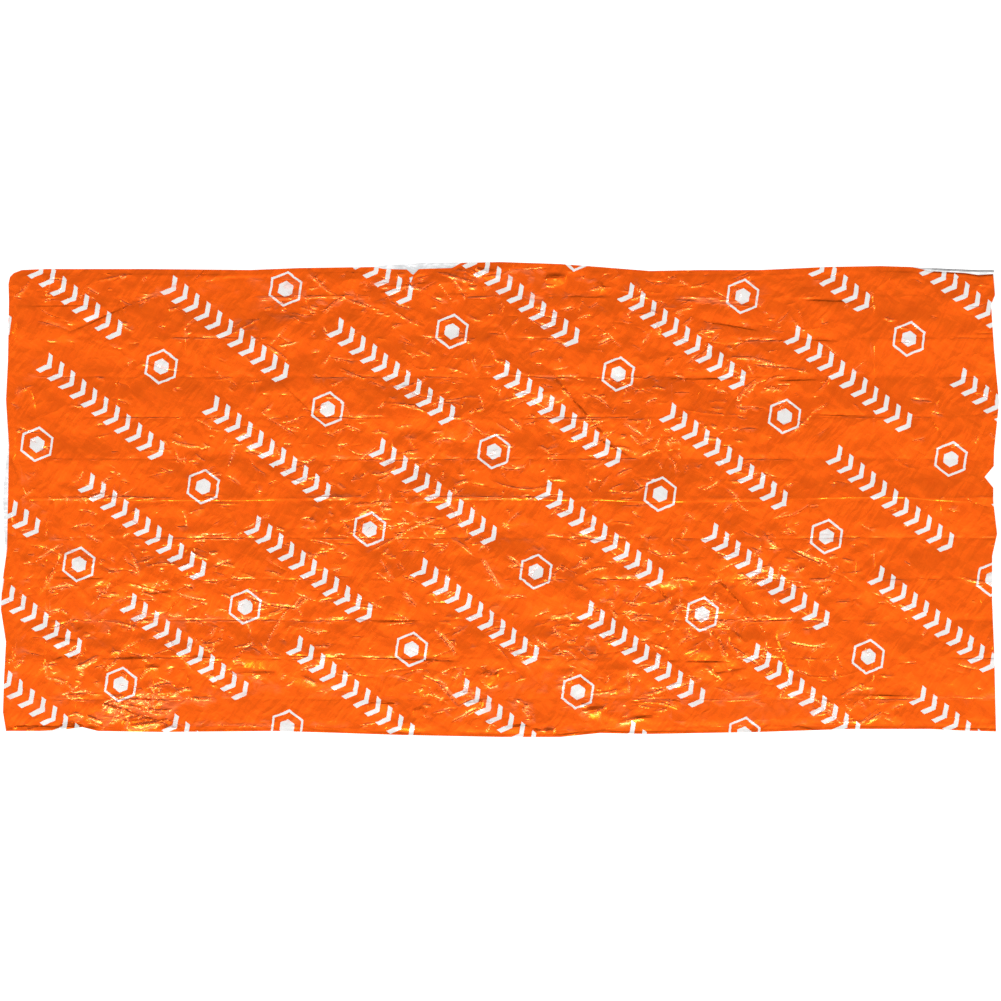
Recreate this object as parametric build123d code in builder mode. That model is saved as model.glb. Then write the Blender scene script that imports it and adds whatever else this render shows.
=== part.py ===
"""Emergency bivy sack of aluminised film, laid out flat with a little air in it.

Two laminated film panels lie one on the other. Each is an orange outer film bonded to a bright
foil lining that faces the sleeper. Seal bands join them along both sides and across the foot, and
the fourth edge is the open mouth. The sack is stored folded, so the film keeps its fold creases.

Millimetres. +X runs from the foot to the mouth, +Y to the rear side and +Z up. The origin is on the
ground, under the middle of the sack.
"""

from build123d import *

import os

# ---- Overall size, as the sack lies ----
sack_length = 2100.0  # foot edge to mouth edge
sack_width = 985.0  # side edge to side edge
air_loft = 13.0  # air space at the middle of the sack
mouth_loft = 9.0  # air space at the lips of the mouth

# ---- Laminate ----
outer_ply = 0.4  # orange outer film
foil_ply = 0.4  # aluminised lining

# ---- Seal bands ----
seal_width = 8.0
seal_thickness = 0.3
seal_margin = 4.0  # free film outside a band
seal_apron = 3.0  # film inside a band that still lies flat, before the roof starts
foot_seal_return = 60.0  # how far the foot band runs round each corner

# ---- Fold creases ----
across_pitch = 85.5  # between the creases that run from foot to mouth
along_pitch = 146.0  # between the creases that run from side to side
crease_relief = 1.3  # height of a ridge and depth of a valley, at the middle
shortest_facet = 12.0  # no crease lies nearer than this to the end of a slope

# ---- How the upper film climbs from the foot and falls to the mouth ----
foot_climb = 360.0
mouth_fall = 225.0
slope_headroom = 1.0  # how far the end slopes' outline clears the ridges at the middle

# ---- Edges ----
corner_clip_along = 30.0  # the clipped corner, where foot and rear side meet
corner_clip_across = 24.0
nick_depth = 19.0  # the V cut in the lips of the mouth
nick_width = 42.0
nick_y = 50.0

# ---- Worked out from the above ----
lower_top = outer_ply + foil_ply  # upper face of the lower lining
seal_plane = lower_top + seal_thickness  # inner face of the upper lining over the seals
foot_x = -sack_length / 2
mouth_x = sack_length / 2
seal_reach = seal_margin + seal_width + seal_apron  # from an edge to the start of the roof
roof_side = sack_width / 2 - seal_reach
roof_foot = foot_x + seal_reach
roof_level = air_loft + crease_relief + slope_headroom
sack_height = seal_plane + roof_level + foil_ply + outer_ply


def creases(pitch, low, high, first):
    """Numbered places of the creases between low and high: one at first, the rest a pitch apart."""
    lowest = int((low + shortest_facet - first) // pitch) + 1
    highest = int((high - shortest_facet - first) // pitch)
    return [(number, first + number * pitch) for number in range(lowest, highest + 1)]


def arch_line():
    """The roof's outline across the sack. Ridges and valleys take turns at the creases."""
    points = [(-roof_side, seal_plane)]
    for number, y in creases(across_pitch, -roof_side, roof_side, first=0.0):
        arch = 1 - (abs(y) / roof_side) ** 4
        relief = crease_relief if number % 2 == 0 else -crease_relief
        points.append((y, seal_plane + (air_loft + relief) * arch))
    points.append((roof_side, seal_plane))
    return points


def slope_line():
    """The roof's outline along the sack: up from the foot seal, level, and down to the mouth."""
    climb_end = roof_foot + foot_climb
    points = [(roof_foot, seal_plane)]
    for _, x in creases(along_pitch, roof_foot, climb_end, first=along_pitch / 2):
        still_to_climb = (climb_end - x) / foot_climb
        points.append((x, seal_plane + roof_level * (1 - still_to_climb**2)))
    points.append((climb_end, seal_plane + roof_level))
    points.append((mouth_x - mouth_fall, seal_plane + roof_level))
    points.append((mouth_x, seal_plane + mouth_loft))
    return points


def closed_down(line, rise):
    """A profile line raised by rise and closed down to the ground."""
    raised = [(along, height + rise) for along, height in line]
    return [(line[0][0], 0), *raised, (line[-1][0], 0)]


def clip_corner(width, foot, clip_along, clip_across):
    """Cut the corner between foot and rear side from the sketch that is being drawn."""
    with Locations((foot, width / 2)):
        Polygon((0, 0), (clip_along, 0), (0, -clip_across), align=None, mode=Mode.SUBTRACT)


def film(thickness):
    """A flat panel from the ground up, cut to the sack's outline."""
    with BuildPart() as panel:
        with BuildSketch():
            Rectangle(sack_length, sack_width)
            clip_corner(sack_width, foot_x, corner_clip_along, corner_clip_across)
            with Locations((mouth_x, nick_y)):
                half = nick_width / 2
                Polygon((0, half), (-nick_depth, 0), (0, -half), align=None, mode=Mode.SUBTRACT)
        extrude(amount=thickness)
    return panel.part


def sack_body(rise):
    """Everything from the ground up to rise above the inner face of the upper lining."""
    with BuildPart() as body:
        with BuildSketch(Plane.YZ):
            Polygon(*closed_down(arch_line(), rise), align=None)
        extrude(amount=sack_length, both=True)
        with BuildSketch(Plane.XZ):
            Polygon(*closed_down(slope_line(), rise), align=None)
        extrude(amount=sack_width, both=True, mode=Mode.INTERSECT)
        with BuildSketch():
            Rectangle(sack_length, sack_width)
        extrude(amount=seal_plane + rise)
        add(film(sack_height), mode=Mode.INTERSECT)
    return body.part


def seal_edge(inset):
    """The outline of the film drawn in by inset at the foot and the sides, up to the mouth."""
    with BuildSketch(Plane.XY.offset(lower_top)) as edge:
        with Locations((inset / 2, 0)):
            Rectangle(sack_length + inset, sack_width)
        clip_corner(sack_width, foot_x, corner_clip_along, corner_clip_across)
        offset(amount=-inset, kind=Kind.INTERSECTION)
    return edge.sketch


def save(piece, name):
    piece.part.label = name
    export_step(piece.part, f"parts/{name}.step")


os.makedirs("parts", exist_ok=True)

# ---- Lower panel: the outer film lies on the ground, with its lining on it ----
with BuildPart() as lower_outer_film:
    add(film(outer_ply))
save(lower_outer_film, "lower_outer_film")

with BuildPart() as lower_foil_lining:
    add(film(lower_top))
    add(film(outer_ply), mode=Mode.SUBTRACT)
save(lower_foil_lining, "lower_foil_lining")

# ---- Upper panel: flat over the seals, and a creased roof over the air space between them ----
with BuildPart() as upper_foil_lining:
    add(sack_body(foil_ply))
    add(sack_body(0), mode=Mode.SUBTRACT)
save(upper_foil_lining, "upper_foil_lining")

with BuildPart() as upper_outer_film:
    add(sack_body(foil_ply + outer_ply))
    add(sack_body(foil_ply), mode=Mode.SUBTRACT)
save(upper_outer_film, "upper_outer_film")

# ---- Seal bands: one strip that follows the edges, in three lengths that meet end to end ----
with BuildPart() as seal_loop:
    with BuildSketch(Plane.XY.offset(lower_top)):
        add(seal_edge(seal_margin))
        add(seal_edge(seal_margin + seal_width), mode=Mode.SUBTRACT)
    extrude(amount=seal_thickness)

seal_joint = Plane.YZ.offset(foot_x + foot_seal_return)
with BuildPart() as foot_seal:
    add(seal_loop.part)
    split(bisect_by=seal_joint, keep=Keep.BOTTOM)
save(foot_seal, "foot_seal")

with BuildPart() as rear_side_seal:
    add(seal_loop.part)
    split(bisect_by=seal_joint, keep=Keep.TOP)
    split(bisect_by=Plane.XZ, keep=Keep.BOTTOM)
save(rear_side_seal, "rear_side_seal")

with BuildPart() as front_side_seal:
    add(seal_loop.part)
    split(bisect_by=seal_joint, keep=Keep.TOP)
    split(bisect_by=Plane.XZ, keep=Keep.TOP)
save(front_side_seal, "front_side_seal")
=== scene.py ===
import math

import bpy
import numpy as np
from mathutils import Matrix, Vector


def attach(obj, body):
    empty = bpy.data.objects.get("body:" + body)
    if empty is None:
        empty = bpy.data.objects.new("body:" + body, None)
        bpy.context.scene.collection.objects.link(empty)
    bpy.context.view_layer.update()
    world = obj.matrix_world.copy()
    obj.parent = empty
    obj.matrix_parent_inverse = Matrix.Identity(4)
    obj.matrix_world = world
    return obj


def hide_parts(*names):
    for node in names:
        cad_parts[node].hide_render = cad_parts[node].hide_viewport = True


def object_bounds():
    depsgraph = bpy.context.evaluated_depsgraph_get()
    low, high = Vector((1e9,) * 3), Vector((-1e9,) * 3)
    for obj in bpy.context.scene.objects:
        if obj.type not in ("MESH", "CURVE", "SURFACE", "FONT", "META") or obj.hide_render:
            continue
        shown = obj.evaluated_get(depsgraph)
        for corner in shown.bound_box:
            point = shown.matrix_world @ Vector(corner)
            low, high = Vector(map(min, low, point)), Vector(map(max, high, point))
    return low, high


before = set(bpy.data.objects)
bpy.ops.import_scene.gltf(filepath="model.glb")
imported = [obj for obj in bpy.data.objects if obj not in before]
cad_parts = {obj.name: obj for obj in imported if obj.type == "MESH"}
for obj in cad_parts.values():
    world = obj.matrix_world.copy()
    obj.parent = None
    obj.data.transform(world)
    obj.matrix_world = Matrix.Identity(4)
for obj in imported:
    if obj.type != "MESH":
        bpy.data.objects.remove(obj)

# The look of a foil bivy sack that lies flat: two crumpled film panels and the welds that join them.
#
# The films are height fields over the sack's outline. Their folds and creases are worked out with
# numpy, meshed finely, and thinned to the triangles that the creases need. Lengths are in metres.

cad_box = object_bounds()

MM = 0.001

# ---- The photograph's frame, which has the sack's middle at its own middle ----
FRAME_PIXELS = 1001
MIDDLE_PIXEL = FRAME_PIXELS / 2
PIXEL = 2.12 * MM  # of the ground, under one pixel
CAMERA_HEIGHT = 14.0
SENSOR = 36.0  # width of the camera's sensor, in its own mm

# ---- The outline in pixels: where each edge of the sack lies, from one corner to the next. The edges
# ---- of the lower film, marked BELOW, show beyond the upper film's in a few places.
REAR_EDGE = [
    (14, 273), (22, 270), (45, 269), (150, 269), (250, 270), (300, 268), (374, 267), (384, 269),
    (407, 269.5), (413, 275), (419, 269), (452, 268), (461, 263), (500, 262), (560, 264), (600, 267),
    (650, 271), (700, 270), (760, 270), (825, 267), (880, 266), (912, 267), (930, 271), (965, 273),
    (978, 275), (993, 274),
]  # fmt: skip
REAR_EDGE_BELOW = [
    *REAR_EDGE[:7], (385, 265), (410, 264), (425, 262.5), *REAR_EDGE[13:22],
    (930, 268), (965, 269.5), (978, 270), (994, 270),
]  # fmt: skip
FRONT_EDGE = [
    (6, 731), (40, 731), (62, 730), (82, 727), (98, 731), (160, 732), (275, 731), (340, 733), (400, 735),
    (500, 737), (560, 737), (600, 733), (650, 734), (760, 732), (850, 729), (930, 729), (960, 730.5),
    (996, 731.5),
]  # fmt: skip
FOOT_EDGE = [
    (14, 273), (10, 277), (8.5, 284), (9, 300), (8, 360), (6, 400), (9, 445), (8, 500), (7, 550), (2, 585),
    (1, 610), (6, 642), (4, 680), (3, 712), (6, 731),
]  # fmt: skip
FOOT_EDGE_BELOW = [
    (14, 273), (10, 277), (8.5, 284), (9, 300), (8, 360), (6, 400), (8, 445), (4, 480), (3, 500), (4, 530),
    (6, 555), (2, 585), (1, 610), (6, 642), (4, 680), (3, 712), (6, 731),
]  # fmt: skip
MOUTH_EDGE = [
    (993, 274), (995, 295), (991, 305), (994, 350), (999, 402), (994, 450), (993, 500),
    (997, 534), (992, 556), (992, 600), (994, 650), (995, 690), (996, 731.5),
]  # fmt: skip
MOUTH_EDGE_BELOW = [(994, 270), *MOUTH_EDGE[1:]]
NICK = (477, 11, 9)  # the V cut in the mouth: its middle, half its width and its depth
NICK_START = 0.97  # share of the length from which the grid bends towards the cut

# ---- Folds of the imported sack: pixel rows of those along it, and pixel columns of those across it ----
FOLD_ROWS = [297, 338, 377, 417, 459, 498, 538, 579, 620, 658, 699]
FOLD_COLUMNS = [48, 118, 187, 256, 325, 394, 463, 532, 601, 670, 739, 808, 872, 936]
FOLD_HEIGHT = 1.1 * MM
FOLD_ANGLES = (15, 21)  # in degrees: the steepest lit flank of a fold, and its other flank
FOLD_VALLEYS = 0.65  # share of the folds along the sack that are valleys
FOLD_WANDER = 1.8 * MM  # how far it strays from its line
CROSS_FOLD_HEIGHT, CROSS_FOLD_WANDER = 0.8 * MM, 1.5 * MM
CROSS_FOLD_REACH = 5 * MM  # from its ridge to either side
PANEL_TILT = 1.8 * MM  # scales the random heights of the corners of the panels between the folds
BEYOND = (1.2, 0.6)  # where the outermost panels end, past the sack's ends and past its sides

# ---- Where the film is most crumpled: middle, reach each way, and how much more than elsewhere ----
CRUMPLED = [
    (110, 600, 90, 70, 0.5), (230, 640, 110, 70, 0.3), (170, 708, 110, 20, 1.1), (260, 460, 90, 22, 0.5),
    (290, 300, 80, 16, 0.9), (100, 480, 40, 16, 0.5), (400, 510, 90, 40, 0.7), (480, 275, 90, 18, 0.9),
    (470, 650, 110, 60, 0.05), (600, 600, 60, 90, 0.5), (560, 705, 120, 24, 0.8), (690, 330, 70, 70, 0.5),
    (760, 370, 60, 50, 0.6), (720, 620, 60, 70, 0.5), (800, 560, 50, 30, 0.5), (820, 710, 110, 20, 0.6),
    (560, 400, 60, 60, 0.3),
]  # fmt: skip
# ---- Where it lies smooth: middle, reach each way, and how much less than elsewhere ----
SMOOTH = [
    (120, 400, 80, 70, 0.6), (940, 560, 60, 200, 0.6), (905, 330, 90, 60, 0.6), (840, 450, 70, 60, 0.5),
    (750, 345, 100, 50, 0.5)
]  # fmt: skip
LEAST_CRUMPLED, USUALLY_CRUMPLED, MOST_CRUMPLED = 0.4, 0.68, 1.25

# ---- Single creases that stand out: ends in pixels, height in mm, and kind ----
LIT, DARK, SHADED, RAISED = "lit", "dark", "shaded", "raised"
KINDS = {  # the height's factor, below 0 for a valley, and the slopes of the lit and the other flank
    LIT: (-0.85, 15.5, 24),
    DARK: (-0.85, 4.5, 22),
    SHADED: (1, 5, 18),
    RAISED: (1, 15.5, 24),
}
CREASES = [
    (127, 699, 150, 700, 2.4, RAISED), (103, 704, 121, 711, 2.4, RAISED), (110, 725, 124, 704, 2.0, RAISED),
    (126, 727, 166, 722, 2.8, RAISED), (184, 698, 232, 700, 2.0, RAISED), (202, 726, 209, 708, 1.8, RAISED),
    (76, 668, 99, 656, 2.2, RAISED), (133, 620, 155, 619, 1.8, RAISED), (262, 708, 300, 706, 1.6, RAISED),
    (150, 712, 176, 709, 2.2, RAISED), (86, 716, 104, 722, 2.0, RAISED),
    (63, 335, 132, 303, 1.6, DARK), (132, 303, 189, 283, 1.8, LIT), (9, 306, 121, 305, 0.7, DARK),
    (202, 287, 249, 283, 1.6, DARK), (249, 279, 282, 290, 1.6, LIT), (275, 294, 312, 294, 1.8, DARK),
    (230, 312, 267, 322, 1.0, DARK), (280, 381, 338, 437, 0.9, DARK), (9, 452, 19, 478, 1.2, DARK),
    (45, 590, 76, 585, 1.6, LIT), (52, 577, 106, 578, 1.5, DARK), (141, 594, 173, 590, 2.0, DARK),
    (104, 618, 126, 594, 1.6, DARK), (160, 620, 180, 596, 1.5, DARK), (54, 637, 78, 640, 1.4, DARK),
    (76, 629, 89, 620, 1.4, DARK), (111, 657, 160, 656, 2.6, DARK), (189, 655, 208, 656, 1.8, DARK),
    (228, 670, 277, 671, 2.6, DARK), (186, 533, 189, 592, 1.4, DARK), (186, 668, 195, 696, 1.4, DARK),
    (245, 596, 269, 605, 1.8, LIT), (269, 605, 297, 608, 1.8, LIT), (260, 642, 273, 657, 1.6, LIT),
    (108, 703, 152, 716, 2.6, LIT), (152, 718, 190, 720, 2.6, DARK), (4, 725, 72, 725, 2.4, DARK),
    (72, 725, 95, 730, 2.2, DARK), (371, 620, 421, 620, 2.6, DARK), (384, 657, 460, 660, 2.4, DARK),
    (337, 700, 434, 703, 2.6, DARK), (434, 627, 458, 655, 2.0, LIT), (402, 590, 417, 607, 1.6, LIT),
    (380, 557, 395, 583, 1.2, LIT), (402, 575, 419, 583, 1.4, LIT), (480, 555, 501, 592, 2.0, LIT),
    (506, 555, 523, 568, 1.6, LIT), (434, 676, 460, 707, 2.4, LIT), (464, 685, 477, 702, 2.0, LIT),
    (451, 722, 480, 707, 1.6, LIT), (503, 707, 532, 683, 1.6, LIT), (514, 720, 547, 731, 1.8, DARK),
    (369, 692, 384, 696, 2.4, DARK), (482, 666, 497, 674, 2.4, DARK), (577, 698, 640, 701, 2.6, DARK),
    (601, 728, 640, 731, 2.4, DARK), (712, 570, 760, 620, 3.2, DARK), (686, 573, 695, 590, 1.6, DARK),
    (719, 614, 747, 642, 2.6, DARK), (777, 631, 793, 681, 3.0, DARK), (710, 625, 730, 657, 1.6, DARK),
    (660, 588, 673, 605, 2.4, DARK), (664, 660, 734, 661, 2.0, DARK), (712, 673, 747, 667, 2.0, DARK),
    (790, 549, 823, 564, 2.0, LIT), (838, 693, 917, 694, 2.6, DARK), (762, 694, 777, 725, 1.8, DARK),
    (664, 694, 682, 701, 2.4, DARK), (734, 699, 760, 693, 2.0, LIT), (782, 723, 825, 729, 2.6, DARK),
    (673, 298, 751, 305, 2.0, LIT), (801, 299, 856, 301, 1.6, DARK), (736, 340, 784, 340, 1.8, LIT),
    (799, 338, 840, 341, 1.4, DARK), (751, 364, 795, 368, 1.6, LIT), (701, 320, 764, 331, 1.6, DARK),
    (662, 378, 747, 378, 1.6, DARK), (777, 380, 819, 379, 1.4, DARK), (810, 414, 873, 416, 1.2, DARK),
    (910, 399, 932, 401, 1.6, LIT), (930, 412, 943, 415, 1.4, LIT), (927, 412, 945, 440, 0.8, DARK),
    (547, 367, 625, 457, 2.4, DARK), (595, 435, 632, 457, 2.2, DARK), (622, 422, 645, 438, 1.4, LIT),
    (128, 698, 184, 698, 2.0, LIT), (104, 704, 118, 699, 1.6, LIT), (102, 713, 110, 703, 1.4, LIT),
    (128, 708, 140, 715, 1.6, LIT), (143, 712, 158, 718, 1.6, LIT), (150, 720, 172, 723, 1.6, LIT),
    (232, 722, 262, 726, 1.8, LIT), (245, 718, 276, 728, 1.6, LIT), (254, 697, 268, 696, 1.6, LIT),
    (274, 700, 306, 699, 1.6, LIT), (34, 562, 64, 543, 1.4, LIT), (195, 538, 232, 538, 1.2, LIT),
    (213, 567, 231, 560, 1.6, LIT), (202, 582, 219, 580, 1.4, LIT), (46, 613, 64, 609, 1.4, LIT),
    (50, 628, 68, 622, 1.4, LIT), (134, 621, 150, 619, 1.4, LIT), (164, 620, 184, 621, 1.4, LIT),
    (288, 656, 311, 656, 1.4, LIT), (300, 671, 315, 665, 1.2, LIT), (366, 704, 394, 703, 3.2, SHADED),
    (482, 675, 499, 675, 2.8, SHADED), (532, 732, 556, 730, 3.0, SHADED), (630, 719, 654, 718, 2.4, SHADED),
    (544, 279, 567, 278, 2.2, SHADED), (482, 276, 502, 275, 2.2, SHADED), (465, 704, 483, 702, 2.6, SHADED),
    (580, 712, 606, 708, 2.6, SHADED), (122, 722, 150, 720, 3.0, SHADED), (155, 729, 182, 727, 2.6, SHADED),
    (504, 728, 530, 726, 2.4, SHADED), (669, 701, 683, 700, 2.2, SHADED), (144, 668, 160, 667, 2.2, SHADED),
    (793, 724, 813, 723, 2.4, SHADED), (412, 712, 424, 708, 2.2, SHADED), (14, 728, 30, 725, 2.2, SHADED),
    (28, 725, 50, 727, 2.2, SHADED), (46, 727, 70, 727.5, 2.4, SHADED), (60, 724.5, 84, 725, 2.8, SHADED),
    (67, 727.5, 100, 729, 2.6, SHADED), (124, 710, 141, 718, 2.6, SHADED), (138, 718, 160, 721, 3.0, SHADED),
    (158, 721, 177, 718, 2.8, SHADED), (48, 665, 57, 663, 1.8, LIT), (11, 674, 17, 674, 1.4, LIT),
    (69, 653, 78, 646, 1.8, LIT), (229, 671, 242, 678, 1.8, LIT), (208, 695, 219, 701, 1.8, LIT),
    (238, 717, 250, 723, 1.8, LIT), (52, 660, 64, 655, 1.8, DARK), (64, 655, 76, 657, 1.8, DARK),
    (384, 284, 402, 285, 1.6, DARK), (378, 292, 400, 288, 1.6, DARK), (400, 285, 430, 281, 1.8, DARK),
    (446, 293, 512, 295, 1.2, DARK), (479, 279, 502, 284, 1.4, DARK), (518, 285, 534, 291, 2.0, DARK),
    (532, 291, 551, 294, 2.2, DARK), (548, 294, 612, 296, 2.4, DARK), (475, 270, 497, 272.5, 2.2, SHADED),
    (545, 276, 566, 276, 2.4, SHADED), (598, 282, 606, 291, 2.0, SHADED), (481, 276, 499, 274, 1.6, LIT),
    (504, 279, 518, 278, 1.4, LIT), (524, 296, 544, 300, 2.2, LIT), (534, 308, 544, 311, 1.6, LIT),
    (539, 324, 548, 328, 1.6, LIT), (465, 297, 489, 296.5, 1.4, LIT), (430, 296, 448, 304.5, 1.6, LIT),
    (598, 344.5, 612, 338, 1.8, LIT), (548, 339, 555, 337, 1.2, LIT), (537, 268, 545, 277, 1.6, LIT),
]  # fmt: skip

# ---- The many short creases, which a seeded draw places ----
SHORT_CREASES = 2500
USUAL_LENGTH, LONGEST = 28, 150  # in mm
LENGTH_SPREAD = 0.6
SHORT_HEIGHTS = (0.3, 1.2)  # in mm, least and greatest
ALONG_SHARE = 0.5  # the share of them that keep roughly to the sack's length
SMALL_TURN, ANY_TURN = 0.35, 1.5  # in radians: the usual turn of those, and the greatest of the others
MOST_BEND = 0.12  # of a crease, as a share of its length
VALLEY_SHARE = 0.6
CROWDING = 2.5  # how strongly they keep to the crumpled places
LIT_ANGLES, OTHER_ANGLES = (9, 19), (15, 30)  # least and greatest slope of each flank, in degrees

# ---- Film ----
LOFT = 3.2 * MM  # air under the upper film, at the middle
CLIMB = 0.17  # share of the length over which the film climbs from the foot
LIP_LOFT = 2.4 * MM
LIP_WAVE = 2.4 * MM
LIP_START, WAVE_START = 0.9, 0.93  # shares of the length from which the lips sink and wave
SEAL_WIDTH = 8.0 * MM  # the welded edge
SHOULDER = 0.8 * MM  # how much higher the film's rear half lies, from the middle fold to the rear weld
RISING_MARGIN = 18.0 * MM  # the stretch beside a weld where the film rises
LEAST_LOOSE = 0.06  # so that a weld is faintly creased too
UPPER_LEVEL = 1.8 * MM  # of the upper film's welded edge
WELD_LEVEL = 0.7 * MM
WELD_MARGIN, WELD_THICKNESS = 1.5 * MM, 0.4 * MM
LINING_DEPTH = 0.3 * MM
FILM_GAP = 1.1 * MM  # the least between the two films
HEM_START, HEM_FULL = 0.92, 0.94  # shares of the length between which the rear hems begin
HEM_RISE = 1.7 * MM  # of the films' rear hems where they part at the mouth
HEM_DROP = 4.2 * MM  # width of the slope down to the edge itself
HEM_WIDTH = 24.0 * MM
GROOVE = 0.8 * MM  # depth of the pinched line beside the front weld
GROOVE_ANGLES = (5, 19)
TAPER = 0.7  # under 1, so that a crease stays high until near its ends
LOWEST_VALLEY = -1.2 * MM  # how far a crease may sink below the level of the upper film's edge
STRAIN_AND_HIGHLIGHT_SLOPES = (0.11, 0.2, 0.4, 0.7)  # where the strain starts, is full, starts to fade, and is gone; the same mask paints the lacquer paler as a highlight
FINE_STEPS = (2.8 * MM, 1.7 * MM)  # of the upper film's first mesh, along and across
COARSE_STEPS = (6.0 * MM, 2.4 * MM)  # of the lower film's
UPPER_FACES, LOWER_FACES = 190_000, 90_000  # triangles in each film
SHARP_ANGLE = 11  # in degrees: an edge that bends more than this is shaded sharp
FOLD_SEED, UPPER_SEED, LOWER_SEED = 11, 40, 90


def on_ground(px, py):
    """The place on the ground, in metres, that a pixel of the frame shows."""
    return (px - MIDDLE_PIXEL) * PIXEL, (MIDDLE_PIXEL - py) * PIXEL


# ---------------------------------------------------------------- shapes in numpy


def soft_noise(x, y, size, seed):
    """Smooth noise from -1 to 1, with bumps about size across."""
    cells = 160
    lattice = np.random.default_rng(seed).uniform(-1, 1, (cells, cells))
    across, up = x / size + 71.3, y / size + 67.9  # shifted, so that no cell has a negative number
    i, j = np.floor(across).astype(int), np.floor(up).astype(int)
    s, t = across - i, up - j
    s, t = s * s * (3 - 2 * s), t * t * (3 - 2 * t)
    i, j = i % (cells - 1), j % (cells - 1)
    low = lattice[i, j] * (1 - s) + lattice[i + 1, j] * s
    high = lattice[i, j + 1] * (1 - s) + lattice[i + 1, j + 1] * s
    return low * (1 - t) + high * t


def falling_cell(a, b, c, d, s, t):
    """Two flat triangles over a cell with corners a, b at the bottom and c, d on top, parted from b to c."""
    return np.where(s + t < 1, a + (b - a) * s + (c - a) * t, d + (c - d) * (1 - s) + (b - d) * (1 - t))


def rising_cell(a, b, c, d, s, t):
    """The same, parted from a to d."""
    return np.where(s > t, a + (b - a) * s + (d - b) * t, a + (d - c) * s + (c - a) * t)


def facets(x, y, length, width, turn, seed):
    """Flat facets from -1 to 1 that meet in sharp ridges, about length by width, turned by turn."""
    wander_x = x + 0.45 * length * soft_noise(x, y, 1.4 * length, seed + 1)
    wander_y = y + 0.45 * width * soft_noise(x, y, 1.1 * length, seed + 2)
    along = (wander_x * math.cos(turn) + wander_y * math.sin(turn)) / length + 211.0
    across = (wander_y * math.cos(turn) - wander_x * math.sin(turn)) / width + 223.0
    cells = 500
    rng = np.random.default_rng(seed)
    lattice = rng.uniform(-1, 1, (cells, cells))
    leaning = rng.random((cells, cells)) < 0.5
    i, j = np.floor(along).astype(int), np.floor(across).astype(int)
    s, t = along - i, across - j
    i, j = i % (cells - 1), j % (cells - 1)
    corners = (lattice[i, j], lattice[i + 1, j], lattice[i, j + 1], lattice[i + 1, j + 1])
    return np.where(leaning[i, j], falling_cell(*corners, s, t), rising_cell(*corners, s, t))


def ramp(value, start, end):
    """0 up to the start and 1 from the end on, with a straight line between them."""
    return np.clip((value - start) / (end - start), 0, 1)


def from_least(least, value):
    """Rises from least, where the value is 0, to 1, where the value is 1."""
    return least + (1 - least) * value


def tent(distance, rear, front):
    """1 on a line and 0 at rear behind it and at front before it, in straight slopes."""
    return np.clip(1 - np.where(distance > 0, distance / rear, -distance / front), 0, 1)


def reach(rise, degrees):
    """How far a slope of that angle runs while it rises by rise."""
    return abs(rise) / math.tan(math.radians(degrees))


def pleat(distance, rise, lit, steep):
    """A ridge, or a valley where rise is negative, whose lit slope faces the front."""
    return rise * (tent(distance, steep, lit) if rise > 0 else tent(distance, lit, steep))


def places(spots, x, y):
    """The sum of soft round spots, each given by its middle, its reach each way and its strength."""
    total = np.zeros_like(x)
    for px, py, reach_x, reach_y, strength in spots:
        cx, cy = on_ground(px, py)
        off = ((x - cx) / (reach_x * PIXEL)) ** 2 + ((y - cy) / (reach_y * PIXEL)) ** 2
        total += strength * np.exp(-off)
    return total


def crumpling(x, y):
    """How crumpled the film is, from LEAST_CRUMPLED where it lies smooth to MOST_CRUMPLED."""
    more, less = 0.55 * places(CRUMPLED, x, y), 0.5 * places(SMOOTH, x, y)
    return np.clip(USUALLY_CRUMPLED + more - less, LEAST_CRUMPLED, MOST_CRUMPLED)


class Film:
    """A grid of film points that fills the sack's outline, with a height at each and how stretched its
    lacquer is, a mask that also paints a highlight.

    from_foot and from_front are each point's shares, 0 to 1, of the way along and across the sack.
    """

    def __init__(self, steps, outline):
        self.length, self.width = 2 * cad_box[1][0], 2 * cad_box[1][1]
        columns, rows = round(self.length / steps[0]), round(self.width / steps[1])
        shares = np.linspace(0, 1, columns + 1), np.linspace(0, 1, rows + 1)
        self.from_foot, self.from_front = np.meshgrid(*shares)
        self.x, self.y = outline(self.from_foot, self.from_front)
        self.z = np.zeros_like(self.x)
        self.strain_and_highlight = np.zeros_like(self.x)

    def noise(self, size, seed):
        """Smooth noise over the ground at each point, from -1 to 1."""
        return soft_noise(self.x, self.y, size, seed)

    def window(self, low, high):
        """The part of the grid that a box on the ground can touch, as a slice of rows and one of columns."""
        slack = 0.02  # share of the grid, because its lines bend with the outline
        slices = []
        for axis, size, count in ((1, self.width, self.x.shape[0]), (0, self.length, self.x.shape[1])):
            first = (low[axis] / size + 0.5 - slack) * count
            last = (high[axis] / size + 0.5 + slack) * count
            slices.append(slice(max(int(first), 0), max(int(last), 0)))
        return tuple(slices)

    def crease(self, start, end, rise, lit, steep, bend=0.0):
        """Adds a sharp crease that fades out at its ends."""
        (x0, y0), (x1, y1) = sorted((start, end))
        length = math.hypot(x1 - x0, y1 - y0)
        ux, uy = (x1 - x0) / length, (y1 - y0) / length
        widest = max(lit, steep)
        cut = self.window((x0 - widest, min(y0, y1) - widest), (x1 + widest, max(y0, y1) + widest))
        dx, dy = self.x[cut] - (x0 + x1) / 2, self.y[cut] - (y0 + y1) / 2
        if dx.size == 0:
            return
        along = (dx * ux + dy * uy) / (length / 2)
        across = dy * ux - dx * uy - bend * length * (1 - along**2)
        taper = np.clip(1 - along**2, 0, 1) ** TAPER
        self.z[cut] += taper * pleat(across, rise, lit, steep)


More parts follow.
